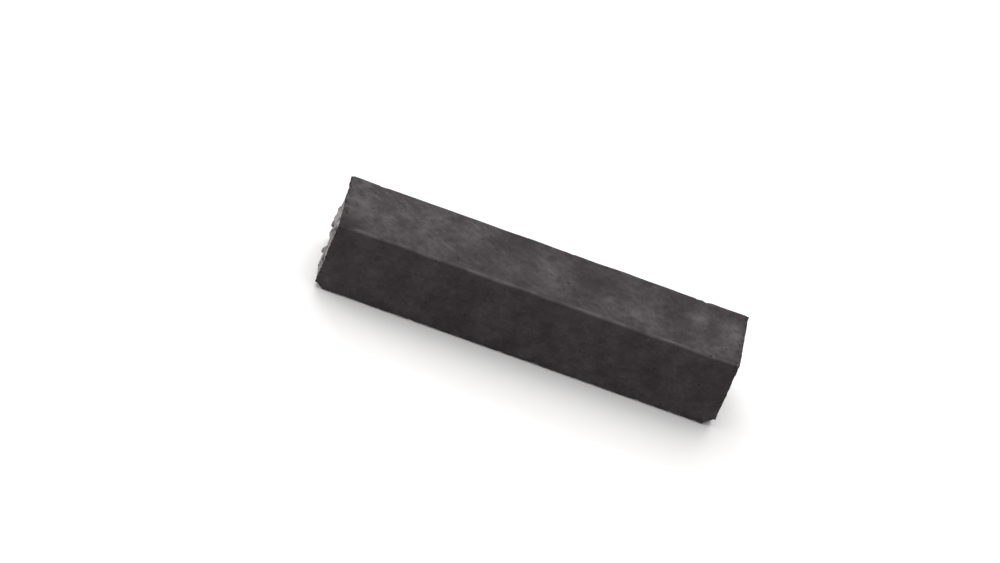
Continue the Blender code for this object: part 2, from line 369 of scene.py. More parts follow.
@dataclass(frozen=True)
class BrokenCharcoal:
    """The inside of the bar, where it broke off: packed grains, with painted shade in the crevices and pits.
    """

    name: str = "broken coconut charcoal"
    body: str = "#302B2C"
    # The colour of the painted shade in the crevices and pits
    deep_shade: str = "#171515"
    grey: str = "#575252"
    # Proud crumbs: lighter with dust on them and with a painted highlight
    proud_highlight: str = "#6E6868"
    roughness: float = 0.5
    ior: float = 1.5
    specular: float = 0.5
    # Loose dust on the crumbs shines where light grazes it
    sheen: float = 0.9
    sheen_roughness: float = 0.4
    sheen_tint: str = "#D8D4D4"

    clump: Pattern = Pattern(3.5, detail=5.0, roughness=0.6)
    # Packed grains of 0.3 to 0.8 mm, drawn at 0.9 mm so that they show
    grain: Pattern = Pattern(0.9, detail=4.0, roughness=0.7)
    grain_smoothness: float = 0.6
    grey_grains: Ramp = Ramp(0.48, 0.72, 0.0, 0.6)
    grey_clumps: Ramp = Ramp(0.35, 0.7, 0.0, 0.6)
    bump_depth: float = 0.2 * MM

    def material(self) -> bpy.types.Material:
        """Builds the broken ends' material.

        Returns:
            The material. It reads the bar's attributes for painted shade in the crevices and pits, and for
            proud crumbs, which are lighter with dust and a painted highlight.
        """
        material, tree, shader = new_material(self.name)
        place = add_node(tree, "TexCoord", "Object")
        painted_shade = add_node(tree, "Attribute", "Fac", attribute_name="painted_shade")
        rubbed_and_highlit = add_node(tree, "Attribute", "Fac", attribute_name="rubbed_and_highlit")
        clump = add_node(tree, "TexNoise", "Fac", self.clump.on(place))
        powder = add_node(tree, "TexNoise", "Fac", self.grain.on(place))
        packing = {"Vector": place, "Scale": per_metre(self.grain.size_mm)}
        packing["Smoothness"] = self.grain_smoothness
        grains = add_node(tree, "TexVoronoi", "Distance", packing, feature="SMOOTH_F1")

        grey_grains = add_node(tree, "MapRange", "Result", self.grey_grains.of(powder))
        grey_clumps = add_node(tree, "MapRange", "Result", self.grey_clumps.of(clump))
        greys = {0: grey_grains, 1: grey_clumps}
        lightness = add_node(tree, "Math", 0, greys, operation="ADD", use_clamp=True)
        tones = {0: lightness, 6: linear(self.body), 7: linear(self.grey)}
        light = add_node(tree, "Mix", 2, tones, data_type="RGBA")
        # Proud crumbs are lighter: dust on them and a painted highlight
        lit = add_node(tree, "Mix", 2, {0: rubbed_and_highlit, 6: light, 7: linear(self.proud_highlight)}, data_type="RGBA")
        # Painted shade in the crevices and pits
        colour = add_node(tree, "Mix", 2, {0: painted_shade, 6: lit, 7: linear(self.deep_shade)}, data_type="RGBA")

        heights = add_node(tree, "Math", 0, {0: clump, 1: grains}, operation="SUBTRACT")
        bump = {"Height": heights, "Distance": self.bump_depth}
        inputs = {
            "Base Color": colour,
            "Roughness": self.roughness,
            "IOR": self.ior,
            "Specular IOR Level": self.specular,
            "Sheen Weight": self.sheen,
            "Sheen Roughness": self.sheen_roughness,
            "Sheen Tint": linear(self.sheen_tint),
            "Metallic": 0.0,
            "Normal": add_node(tree, "Bump", "Normal", bump),
        }
        feed(shader, inputs)
        return material


@dataclass(frozen=True)
class FlueWall:
    """The wall of the flue: dragged smooth by the press's mandrel and dull black with char."""

    name: str = "charred flue wall"
    body: str = "#231F20"
    light: str = "#332F30"
    roughness: float = 0.8
    specular: float = 0.3
    patch: Pattern = Pattern(5.0, detail=5.0, roughness=0.6)
    # The mandrel leaves marks of about 1 mm
    mark: Pattern = Pattern(1.0, detail=3.0)
    bump_depth: float = 0.06 * MM

    def material(self) -> bpy.types.Material:
        """Builds the flue wall's material.

        Returns:
            The material.
        """
        material, tree, shader = new_material(self.name)
        place = add_node(tree, "TexCoord", "Object")
        patch = add_node(tree, "TexNoise", "Fac", self.patch.on(place))
        marks = add_node(tree, "TexNoise", "Fac", self.mark.on(place))
        tones = {0: patch, 6: linear(self.body), 7: linear(self.light)}
        bump = {"Height": marks, "Distance": self.bump_depth}
        inputs = {
            "Base Color": add_node(tree, "Mix", 2, tones, data_type="RGBA"),
            "Roughness": self.roughness,
            "Specular IOR Level": self.specular,
            "Metallic": 0.0,
            "Normal": add_node(tree, "Bump", "Normal", bump),
        }
        feed(shader, inputs)
        return material


@dataclass(frozen=True)
class Break:
    """The relief of one broken end."""

    seed: float
    sink: float
    broad: float
    lump: float
    chunk: float
    slope: float
    crevice: float
    mouth: float
    rim_reach: float


@dataclass(frozen=True)
class Hollow:
    """A broad hollow in an end, or a swelling where its depth is negative. Places are in half sides."""

    end: End
    across: float
    up: float
    reach: float
    depth: float


@dataclass(frozen=True)
class Bite:
    """A chip: a rough ball that comes in against the way out. The place is in half lengths and half sides."""

    place: tuple[float, float, float]
    outwards: tuple[float, float, float]
    radius: float
    depth: float


@dataclass(frozen=True)
class Pit:
    """A ragged pit in a broken end, where a lump has dropped out. The place is in half sides."""

    end: End
    across: float
    up: float
    radius: float
    depth: float


@dataclass(frozen=True)
class DustSpot:
    """A place on the top where ash dust has settled, in half lengths and half sides.

    Where its amount is negative, the dust has been wiped off.
    """

    along: float
    across: float
    reach: float
    amount: float


@dataclass
class CharcoalBar:
    """The bar itself, as one closed skin with a broken face at each end and the flue's wall inside.

    Its large forms follow the same rules as the solid that it stands for, with finer loops and finer crumbs.
    """

    length: float = 226.0 * MM
    side: float = 45.0 * MM
    flue_radius: float = 5.6 * MM

    # Loops, and how far they crowd towards the edges
    cuts_along: int = 255
    cuts_round: int = 63
    cuts_of_end: int = 39
    cuts_of_flue: int = 27
    crowd_along: float = 0.55
    crowd_round: float = 0.55
    crowd_end: float = 0.3
    core: float = 0.2

    wear_width: float = 0.9 * MM
    wear_swing: float = 0.5 * MM
    wear_wavelength: float = 17.0 * MM
    # Where in the noise the four edges read their wear
    wear_draw: tuple[float, float] = (7.0, 13.0)
    # The worn flats are rounded in this band
    softened_band: float = 1.6 * MM
    softening: float = 0.5

    break_reach: float = 15.0 * MM
    broad_wavelength: float = 30.0 * MM
    lump_wavelength: float = 9.0 * MM
    chunk_size: float = 7.5 * MM
    chunk_warp: float = 0.6
    chunk_sharpness: float = 8.0
    # How suddenly one chunk steps to the next: at 18 a step is about a millimetre wide
    step_sharpness: float = 18.0
    # Where in the noise a chunk reads its height and its slope
    height_draw: float = 2.3
    slope_draw: float = 1.7
    crevice_wavelength: float = 11.0 * MM
    crevice_open: float = 0.35
    crevice_swing: float = 1.6
    mouth_reach: float = 3.0 * MM
    rim_share: float = 0.12
    most_proud: float = 0.3 * MM
    breaks: dict[End, Break] = field(
        default_factory=lambda: {
            End.LEFT: Break(
                seed=3.0, sink=1.0 * MM, broad=1.3 * MM, lump=1.3 * MM, chunk=2.0 * MM,
                slope=2.8 * MM, crevice=1.7 * MM, mouth=1.6 * MM, rim_reach=4.0 * MM,
            ),
            End.RIGHT: Break(
                seed=11.0, sink=0.9 * MM, broad=0.8 * MM, lump=1.0 * MM, chunk=1.7 * MM,
                slope=2.4 * MM, crevice=1.5 * MM, mouth=1.3 * MM, rim_reach=9.0 * MM,
            ),
        }
    )
    hollows: tuple[Hollow, ...] = (
        Hollow(End.LEFT, 0.90, 0.72, 9.0 * MM, 2.6 * MM),
        Hollow(End.LEFT, 0.95, -0.95, 5.0 * MM, 0.8 * MM),
        Hollow(End.LEFT, -0.30, -1.00, 7.0 * MM, -0.9 * MM),
        Hollow(End.RIGHT, 0.65, -0.35, 9.0 * MM, 1.5 * MM),
    )

    corner_bites: tuple[Bite, ...] = (
        Bite((1.0, -1.0, -1.0), (1.0, -0.8, -1.0), 14.0 * MM, 4.6 * MM),
        Bite((1.0, 1.0, -1.0), (1.0, 0.9, -0.6), 13.0 * MM, 5.6 * MM),
        Bite((1.0, 0.55, -1.0), (1.0, 0.2, -1.0), 7.0 * MM, 3.0 * MM),
        Bite((-1.0, -1.0, -1.0), (-0.6, -0.7, -1.0), 14.0 * MM, 3.6 * MM),
        Bite((-1.0, 1.0, 1.0), (-1.0, 1.0, 0.3), 9.0 * MM, 1.8 * MM),
        Bite((-1.0, 1.0, -1.0), (-0.8, 1.0, -1.0), 11.0 * MM, 2.6 * MM),
    )
    pits: tuple[Pit, ...] = (
        Pit(End.LEFT, -0.42, 0.38, 3.2 * MM, 3.2 * MM),
        Pit(End.LEFT, -0.50, -0.42, 3.8 * MM, 3.0 * MM),
        Pit(End.LEFT, 0.48, -0.30, 2.8 * MM, 2.2 * MM),
        Pit(End.LEFT, 0.15, 0.70, 3.0 * MM, 1.8 * MM),
        Pit(End.RIGHT, 0.45, 0.42, 3.4 * MM, 2.8 * MM),
        Pit(End.RIGHT, -0.40, -0.45, 3.0 * MM, 2.6 * MM),
        Pit(End.RIGHT, -0.55, 0.30, 2.6 * MM, 1.8 * MM),
        Pit(End.RIGHT, 0.10, -0.68, 3.2 * MM, 2.2 * MM),
    )
    pit_roughness: float = 0.45
    pit_grain: float = 3.0 * MM
    pit_grit: float = 0.5
    # How far the breaks' points are spread over their steep steps
    relaxing: float = 0.45

    edge_bites: int = 34
    edge_spread: float = 0.97
    rim_bites: int = 16
    rim_spread: float = 0.9
    bite_radius: tuple[float, float] = (3.0 * MM, 8.0 * MM)
    bite_depth: tuple[float, float] = (0.5 * MM, 1.3 * MM)
    bite_seed: int = 47
    bite_roughness: float = 0.11
    bite_grain: float = 4.5 * MM
    # The near top edge has kept its line, so its chips have this share of their depth
    kept_edge_share: float = 0.6
    # A point that a chip has moved this far starts to look chipped, and looks fully so
    chip_shows: tuple[float, float] = (0.02 * MM, 0.25 * MM)

    # The finer relief, which only this mesh has: lumps and crumbs on the breaks, and grit in the chips
    fine_lump: float = 0.55 * MM
    fine_lump_wavelength: float = 3.2 * MM
    crumb: float = 0.50 * MM
    crumb_size: float = 1.9 * MM
    # Where in the noise a crumb reads its height, how domed it is, its level, and how steep its sides are
    crumb_draw: float = 3.1
    crumb_roundness: float = 0.9
    crumb_level: float = 0.2
    crumb_parting: float = 4.0
    # Crumbs are lower by the rims, in this band, and down to this share
    rim_band: float = 2.5 * MM
    rim_crumbs: float = 0.35
    grit: float = 0.16 * MM
    grit_wavelength: float = 1.3 * MM
    chip_grit: float = 0.6
    # The skin is not quite flat: it dries a little hollow, and has shallow dents
    sag: float = 0.14 * MM
    sag_wavelength: float = 28.0 * MM
    sag_from_edge: float = 7.0 * MM
    dents: int = 46
    dent_spread: tuple[float, float] = (0.95, 0.85)
    dent_radius: tuple[float, float] = (1.4 * MM, 3.4 * MM)
    dent_depth: tuple[float, float] = (0.10 * MM, 0.32 * MM)
    dent_steepness: float = 2.2
    dent_seed: int = 5
    # The skin is nicked next to the broken ends, and along the edges that the bar lies on
    ravel_of_rim: float = 4.0 * MM
    ravel_of_base: float = 2.2 * MM
    ravel_size: float = 3.1 * MM
    ravel_depth: float = 0.30 * MM
    # The noise at which a nick starts and is full, and how much nicks gain on it right at the rim
    ravel_range: tuple[float, float] = (0.12, 0.5)
    ravel_gain: float = 0.25
    # The flue's mouths have crumbled wider, and its wall is a little rough
    mouth_crumble: float = 0.9 * MM
    mouth_depth: float = 3.0 * MM
    mouth_wavelength: float = 3.5 * MM
    mouth_open: float = 0.45
    mouth_draw: float = 9.0
    wall_roughness: float = 0.06 * MM
    wall_grain: float = 2.0 * MM

    # Ash dust: on the sides, more on the top, where the extra also paints part of the top's brighter light, a
    # little more low down, and thickest in spots of the top
    dust_on_sides: float = 0.30
    dust_and_light_on_top: float = 0.22
    dust_low_down: float = 0.15
    # Low down, in half sides from the middle, and by how much a face turns up to have the top's dust
    dust_low: tuple[float, float] = (-0.2, -1.0)
    dust_faces: tuple[float, float] = (0.3, 0.9)
    dust_spots: tuple[DustSpot, ...] = (
        DustSpot(-0.92, 0.30, 13.0 * MM, 0.60),
        DustSpot(-0.66, 0.15, 17.0 * MM, 0.48),
        DustSpot(-0.40, 0.45, 14.0 * MM, 0.36),
        DustSpot(0.06, -0.05, 9.0 * MM, 0.44),
        DustSpot(0.33, -0.25, 5.0 * MM, 0.56),
        DustSpot(0.50, -0.35, 8.0 * MM, 0.48),
        DustSpot(0.76, 0.25, 5.0 * MM, 0.64),
        DustSpot(0.97, 0.10, 8.0 * MM, 0.76),
        DustSpot(0.88, -0.75, 6.0 * MM, 0.48),
        DustSpot(0.27, 0.30, 13.0 * MM, -0.36),
        DustSpot(0.66, 0.00, 10.0 * MM, -0.36),
        DustSpot(-0.15, 0.80, 12.0 * MM, -0.32),
        DustSpot(-0.97, -0.90, 9.0 * MM, -0.60),
    )

    # Rubbed edges, partly wear and partly a painted highlight: this band of the long edges, more where it
    # faces up and less where the dust is wiped off
    rub_band: tuple[float, float] = (1.8 * MM, 0.9 * MM)
    rub_of_sides: float = 0.25
    rub_and_highlight_on_top: float = 0.7
    rub_faces: tuple[float, float] = (0.2, 0.9)
    rub_wiped: tuple[float, float] = (0.0, 0.3)
    # Bumps and crumbs get a painted highlight, and hollows painted shade: how curved they start to count, and
    # fully count
    bump_curve: tuple[float, float] = (0.03, 0.25)
    highlight_of_bumps: float = 0.4
    highlight_of_crumbs: float = 0.3
    hollow_curve: tuple[float, float] = (0.0, 0.25)
    # Painted shade in the breaks: by hollows, and by depth from the end's plane
    shade_by_hollow: float = 0.5
    shaded_depth: tuple[float, float] = (1.5 * MM, 5.0 * MM)
    shade_by_depth: float = 0.55

    # What is being built: the bar's mesh, and the indices of its points for each zone, two for a rim's
    bar: bmesh.types.BMesh = field(default_factory=bmesh.new)
    zones: dict[Zone, set[int]] = field(default_factory=lambda: {zone: set() for zone in Zone})

    def frame_block(self) -> None:
        """Makes the bar's coarse frame: a block two units each way with a square tunnel along X."""
        bmesh.ops.create_cube(self.bar, size=2.0)
        mouths = [face for face in self.bar.faces if abs(face.normal.x) > 0.5]
        bmesh.ops.inset_individual(self.bar, faces=mouths, thickness=1.0 - self.core, use_even_offset=True)
        bmesh.ops.delete(self.bar, geom=mouths, context="FACES_ONLY")
        rims = [edge for edge in self.bar.edges if edge.is_boundary]
        bmesh.ops.bridge_loops(self.bar, edges=rims)

    def sort_faces(self) -> None:
        """Gives each face of the coarse frame its zone, which the cuts hand on."""
        for name in ("chipped", "dust_and_top_light", "rubbed_and_highlit", "painted_shade"):
            self.bar.verts.layers.float.new(name)
        for face in self.bar.faces:
            face.smooth = True
            ring = min(max(abs(vertex.co.y), abs(vertex.co.z)) for vertex in face.verts)
            along = [vertex.co.x for vertex in face.verts]
            outer = Zone.SKIN if ring > SKIN_REACH else Zone.FLUE
            face.material_index = (Zone.BREAK if max(along) - min(along) < NO_STEP else outer).value

    def runs(self, least: float) -> list[bmesh.types.BMEdge]:
        """The edges that run further than this along X."""
        return [edge for edge in self.bar.edges if abs(self.run(edge).x) > least]

    def cut(self, edges: list[bmesh.types.BMEdge], cuts: int) -> None:
        """Cuts edges, and the faces between them into grids."""
        bmesh.ops.subdivide_edges(self.bar, edges=edges, cuts=cuts, use_grid_fill=True)

    def cut_loops(self) -> None:
        """Cuts the frame's faces into grids: the ends, the skin, the flue, and then all round the bar."""
        across = [edge for edge in self.bar.edges if min(abs(step) for step in self.run(edge).yz) > NO_STEP]
        self.cut(across, self.cuts_of_end)
        self.cut([edge for edge in self.runs(NO_STEP) if self.reach(edge) > SKIN_REACH], self.cuts_along)
        self.cut([edge for edge in self.runs(0.5) if self.reach(edge) < SKIN_REACH], self.cuts_of_flue)
        steps = {edge: [abs(step) > NO_STEP for step in self.run(edge)] for edge in self.bar.edges}
        hoops = [edge for edge, moved in steps.items() if sum(moved) == 1 and not moved[0]]
        self.cut(hoops, self.cuts_round)

    @staticmethod
    def run(edge: bmesh.types.BMEdge) -> Vector:
        """The step from one end of an edge to the other."""
        return edge.verts[1].co - edge.verts[0].co

    @staticmethod
    def reach(edge: bmesh.types.BMEdge) -> float:
        """How far an edge's first end is from the X axis, measured square."""
        return max(abs(edge.verts[0].co.y), abs(edge.verts[0].co.z))

    @staticmethod
    def crowded(share: float, crowd: float) -> float:
        """Moves a coordinate between -1 and 1 towards the nearer end, so that loops crowd there."""
        return share + crowd * (math.sin(share * math.pi / 2) - share)

    def points(self, zone: Zone, *others: Zone) -> list[bmesh.types.BMVert]:
        """Picks the points of a zone that are in none of some other zones.

        Args:
            zone: The zone.
            others: The other zones.

        Returns:
            The points, in the mesh's order.
        """
        chosen = self.zones[zone].difference(*(self.zones[other] for other in others))
        return [vertex for vertex in self.bar.verts if vertex.index in chosen]

    def stretch(self) -> None:
        """Stretches the unit frame to the bar's size, and rounds its tunnel into the flue."""
        for vertex in self.bar.verts:
            x, y, z = vertex.co
            ring = max(abs(y), abs(z))
            share = self.crowded((ring - self.core) / (1.0 - self.core), self.crowd_end)
            outwards = Vector([0.0, *(self.crowded(way / ring, self.crowd_round) for way in (y, z))])
            on_square = outwards * self.side / 2
            on_flue = outwards.normalized() * self.flue_radius
            vertex.co = on_flue.lerp(on_square, min(1.0, max(0.0, share)))
            vertex.co.x = self.crowded(x, self.crowd_along) * self.length / 2

    def sort_points(self) -> None:
        """Sorts the mesh's points by the zones of their faces."""
        self.bar.verts.index_update()
        for face in self.bar.faces:
            self.zones[Zone(face.material_index)].update(vertex.index for vertex in face.verts)

    def relief(self, y: float, z: float, end: End) -> float:
        """How far a broken end stands back from its plane, as on the solid.

        Args:
            y: The place across the bar.
            z: The place up the bar, from its middle.
            end: Which end.

        Returns:
            The depth, negative where the end stands proud.
        """
        kind = self.breaks[end]
        point = Vector((y, z, 0.0))
        offset = Vector((0.0, 0.0, kind.seed))
        broad = noise.noise(point / self.broad_wavelength + offset)
        lump = noise.noise(point / self.lump_wavelength + offset)
        bend = self.chunk_warp * vector_noise(point / self.lump_wavelength - offset)
        warped = point / self.chunk_size + bend + offset
        distances, centres = noise.voronoi(warped)
        shares = [math.exp(self.step_sharpness * (distances[0] - away)) for away in distances]
        steps = 0.0
        for share, centre in zip(shares, centres):
            slope = (warped - centre).dot(vector_noise(centre * self.slope_draw))
            steps += share * (kind.chunk * noise.noise(centre * self.height_draw) + kind.slope * slope)
        swing = noise.noise(point / self.crevice_wavelength - offset)
        opened = min(1.0, max(0.0, self.crevice_open + self.crevice_swing * swing))
        crevice = opened * math.exp(-self.chunk_sharpness * (distances[1] - distances[0]))
        mouth = math.exp(-max(math.hypot(y, z) - self.flue_radius, 0.0) / self.mouth_reach)
        depth = kind.sink + kind.broad * broad + kind.lump * lump + steps / sum(shares)
        depth += kind.crevice * crevice + kind.mouth * mouth
        for hollow in self.hollows:
            if hollow.end is end:
                away = math.hypot(y - hollow.across * self.side / 2, z - hollow.up * self.side / 2)
                depth += hollow.depth * math.exp(-((away / hollow.reach) ** 2))
        depth = max(depth, -self.most_proud)
        from_rim = max(0.0, min(self.side / 2 - z, self.side / 2 + y))
        return depth * (self.rim_share + (1.0 - self.rim_share) * min(1.0, from_rim / kind.rim_reach))

    def break_ends(self) -> None:
        """Gives both ends their broken relief, which fades out along the sides."""
        for vertex in self.bar.verts:
            x, y, z = vertex.co
            from_end = self.length / 2 - abs(x)
            if from_end < self.break_reach:
                fade = 1.0 - from_end / self.break_reach
                end = End.LEFT if x < 0 else End.RIGHT
                vertex.co.x -= end.value * self.relief(y, z, end) * fade * fade

    def wear_edges(self) -> None:
        """Wears the four long edges, more in some places than in others."""
        for vertex in self.bar.verts:
            x, y, z = vertex.co
            which = Vector((0.0, math.copysign(self.wear_draw[0], y), math.copysign(self.wear_draw[1], z)))
            swing = noise.noise(Vector((x / self.wear_wavelength, 0.0, 0.0)) + which)
            over = abs(y) + abs(z) - (self.side - self.wear_width - self.wear_swing * swing)
            if over > 0:
                vertex.co.y -= math.copysign(over / 2, y)
                vertex.co.z -= math.copysign(over / 2, z)

    def place_of(self, shares: tuple[float, float, float]) -> Vector:
        """Turns half lengths and half sides into metres."""
        return Vector((shares[0] * self.length / 2, shares[1] * self.side / 2, shares[2] * self.side / 2))

    def drawn_bites(self) -> list[Bite]:
        """Draws the small chips of the long edges and of the ends' rims, from a fixed seed.

        Returns:
            The chips, the same ones as on the solid.
        """
        draw = random.Random(self.bite_seed)
        bites = []
        for _ in range(self.edge_bites):
            across, up = draw.choice((-1, 1)), draw.choice((-1, 1))
            place = (draw.uniform(-self.edge_spread, self.edge_spread), across, up)
            radius, depth = draw.uniform(*self.bite_radius), draw.uniform(*self.bite_depth)
            if (across, up) == (-1, 1):
                depth *= self.kept_edge_share
            bites.append(Bite(place, (0.0, across, up), radius, depth))
        for _ in range(self.rim_bites):
            end, share = draw.choice((-1, 1)), draw.uniform(-self.rim_spread, self.rim_spread)
            across, up = (1, share) if draw.random() < 0.5 else (share, -1)
            outwards = (end, across if across == 1 else 0, up if up == -1 else 0)
            radius, depth = draw.uniform(*self.bite_radius), draw.uniform(*self.bite_depth)
            bites.append(Bite((end, across, up), outwards, radius, depth))
        return bites

    def press_bites(self) -> None:
        """Presses the surface back onto each chip's rough ball, and marks what moved as chipped."""
        chipped = self.bar.verts.layers.float["chipped"]
        for bite in (*self.corner_bites, *self.drawn_bites()):
            place = self.place_of(bite.place)
            centre = place + Vector(bite.outwards).normalized() * (bite.radius - bite.depth)
            widest = bite.radius * (1 + self.bite_roughness)
            for vertex in self.bar.verts:
                if abs(vertex.co.x - centre.x) > widest or (vertex.co - centre).length > widest:
                    continue
                away = vertex.co - centre
                grain = noise.noise(vertex.co / self.bite_grain)
                reach = bite.radius * (1 + self.bite_roughness * grain)
                if away.length < reach:
                    pressed = centre + away.normalized() * reach
                    moved = (pressed - vertex.co).length
                    vertex[chipped] = max(vertex[chipped], smooth_step(*self.chip_shows, moved))
                    vertex.co = pressed

    def press_pits(self) -> None:
        """Sinks the pits into the broken ends, each down to a ragged ball."""
        inside = self.points(Zone.BREAK, Zone.SKIN, Zone.FLUE)
        for pit in self.pits:
            place_y, place_z = (share * self.side / 2 for share in (pit.across, pit.up))
            surface = self.length / 2 - self.relief(place_y, place_z, pit.end)
            centre_x = surface + pit.radius - pit.depth
            for vertex in inside:
                x, y, z = vertex.co
                away = math.hypot(y - place_y, z - place_z)
                if x * pit.end.value < 0 or away > pit.radius * 2:
                    continue
                point = Vector((surface * pit.end.value, y, z))
                ragged = noise.noise(point / self.pit_grain)
                ragged += self.pit_grit * noise.noise(point / self.grit_wavelength)
                reach = pit.radius * (1 + self.pit_roughness * ragged)
                if away < reach:
                    floor = centre_x - math.sqrt(reach * reach - away * away)
                    vertex.co.x = pit.end.value * min(abs(x), floor)

    def relax(self) -> None:
        """Spreads the breaks' points over their steep steps, and rounds the worn flats of the long edges."""
        inside = self.points(Zone.BREAK, Zone.SKIN, Zone.FLUE)
        axes = {"use_axis_x": True, "use_axis_y": True, "use_axis_z": True}
        bmesh.ops.smooth_vert(self.bar, verts=inside, factor=self.relaxing, **axes)
        near = self.side / 2 - self.softened_band
        edges = [vertex for vertex in self.bar.verts if min(abs(way) for way in vertex.co.yz) > near]
        axes["use_axis_x"] = False
        bmesh.ops.smooth_vert(self.bar, verts=edges, factor=self.softening, **axes)

    def draw_dents(self) -> list[tuple[Vector, float, float]]:
        """Draws the skin's dents, from a fixed seed.

        Returns:
            Each dent's place, radius and depth.
        """
        draw = random.Random(self.dent_seed)
        dents = []
        for _ in range(self.dents):
            quarter = Matrix.Rotation(draw.randrange(4) * math.pi / 2, 3, "X")
            along, across = (draw.uniform(-spread, spread) for spread in self.dent_spread)
            radius, depth = draw.uniform(*self.dent_radius), draw.uniform(*self.dent_depth)
            out, side = (self.place_of(way) for way in ((0.0, 0.0, 1.0), (0.0, across, 0.0)))
            place = self.place_of((along, 0.0, 0.0)) + quarter @ out + quarter @ side
            dents.append((place, radius, depth))
        return dents

    def dent_skin(self) -> None:
        """Lets the skin sag a little between its edges, and presses shallow dents into it."""
        dents = self.draw_dents()
        dent_tree = kdtree.KDTree(len(dents))
        for index, (place, _, _) in enumerate(dents):
            dent_tree.insert(place, index)
        dent_tree.balance()
        for vertex in self.points(Zone.SKIN, Zone.BREAK):
            y, z = vertex.co.yz
            low, high = sorted((abs(y), abs(z)))
            from_edge = smooth_step(0.0, self.sag_from_edge, high - low)
            inwards = self.sag * (0.5 + noise.noise(vertex.co / self.sag_wavelength)) * from_edge
            for _, index, away in dent_tree.find_range(vertex.co, self.dent_radius[1] * 2):
                _, radius, depth = dents[index]
                inwards += depth * math.exp(-((away / radius) ** 2) * self.dent_steepness) * from_edge
            if abs(z) > abs(y):
                vertex.co.z -= math.copysign(inwards, z)
            else:
                vertex.co.y -= math.copysign(inwards, y)

    def ravel_rims(self) -> None:
        """Nicks the skin where it meets the broken ends, and along the edges that the bar lies on."""
        chipped = self.bar.verts.layers.float["chipped"]
        self.bar.normal_update()
        moves = {}
        for vertex in self.points(Zone.SKIN, Zone.BREAK):
            x, y, z = vertex.co
            near = 1.0 - (self.side - abs(y) + z) / self.ravel_of_base
            if self.length / 2 - abs(x) < self.break_reach:
                end = End.LEFT if x < 0 else End.RIGHT
                from_rim = self.length / 2 - self.relief(y, z, end) - abs(x)
                near = max(near, 1.0 - from_rim / self.ravel_of_rim)
            if near <= 0.0:
                continue
            nick = noise.noise(vertex.co / self.ravel_size)
            share = smooth_step(*self.ravel_range, nick + self.ravel_gain * near) * min(1.0, 2.0 * near)
            vertex[chipped] = max(vertex[chipped], share)
            moves[vertex] = vertex.normal * -self.ravel_depth * share
        for vertex, move in moves.items():
            vertex.co += move

    def crumble_mouths(self) -> None:
        """Widens the flue unevenly at its mouths, and roughens its wall."""
        for vertex in self.points(Zone.FLUE):
            x, y, z = vertex.co
            outwards = Vector((0.0, y, z)).normalized()
            from_end = max(0.0, self.length / 2 - abs(x))
            round_mouth = outwards * self.flue_radius / self.mouth_wavelength
            uneven = self.mouth_open + noise.noise(round_mouth + Vector((x * self.mouth_draw, 0.0, 0.0)))
            wider = self.mouth_crumble * max(0.0, uneven) * math.exp(-from_end / self.mouth_depth)
            wall = self.wall_roughness * noise.noise(vertex.co / self.wall_grain)
            vertex.co += outwards * (wider + wall)

    def crumble(self) -> None:
        """Adds the finer lumps and crumbs to the breaks, and grit to the chips."""
        chipped = self.bar.verts.layers.float["chipped"]
        self.bar.normal_update()
        moves = {}
        for vertex in self.bar.verts:
            broken = vertex.index in self.zones[Zone.BREAK]
            if not broken and vertex[chipped] <= 0.0:
                continue
            x, y, z = vertex.co
            lump = noise.noise(vertex.co / self.fine_lump_wavelength)
            distances, centres = noise.voronoi(vertex.co / self.crumb_size)
            parted = min(1.0, self.crumb_parting * (distances[1] - distances[0]))
            height = noise.noise(centres[0] * self.crumb_draw) * parted
            crumb = distances[0] * self.crumb_roundness + height - self.crumb_level
            grit = noise.noise(vertex.co / self.grit_wavelength)
            inwards = self.fine_lump * lump + self.crumb * crumb + self.grit * grit
            outwards = vertex.normal
            if broken:
                inset = min(self.side / 2 - max(abs(y), abs(z)), math.hypot(y, z) - self.flue_radius)
                kept = smooth_step(0.0, self.rim_band, inset)
                inwards *= self.rim_crumbs + (1.0 - self.rim_crumbs) * kept
                outwards = outwards.lerp(Vector((math.copysign(1.0, x), 0.0, 0.0)), 1.0 - kept)
            else:
                inwards *= self.chip_grit * vertex[chipped]
            moves[vertex] = outwards * -inwards
        for vertex, move in moves.items():
            vertex.co += move

    def dust_at(self, point: Vector, normal: Vector) -> float:
        """How much ash dust lies at a point of the skin: most on the top, in spots, and little on the sides.
        The top's extra also paints part of its brighter light.

        Args:
            point: The point, from the bar's middle.
            normal: The skin's direction there.

        Returns:
            A share that the skin's clouds are multiplied by.
        """
        up = smooth_step(*self.dust_faces, normal.z)
        # The top's extra dust also paints part of its brighter light
        amount = self.dust_on_sides + self.dust_and_light_on_top * up
        for spot in self.dust_spots:
            middle = (spot.along * self.length / 2, spot.across * self.side / 2)
            away = math.dist(point.xy, middle)
            amount += up * spot.amount * math.exp(-((away / spot.reach) ** 2))
        low_down = smooth_step(*self.dust_low, point.z / (self.side / 2))
        return max(0.0, amount + (1.0 - up) * self.dust_low_down * low_down)

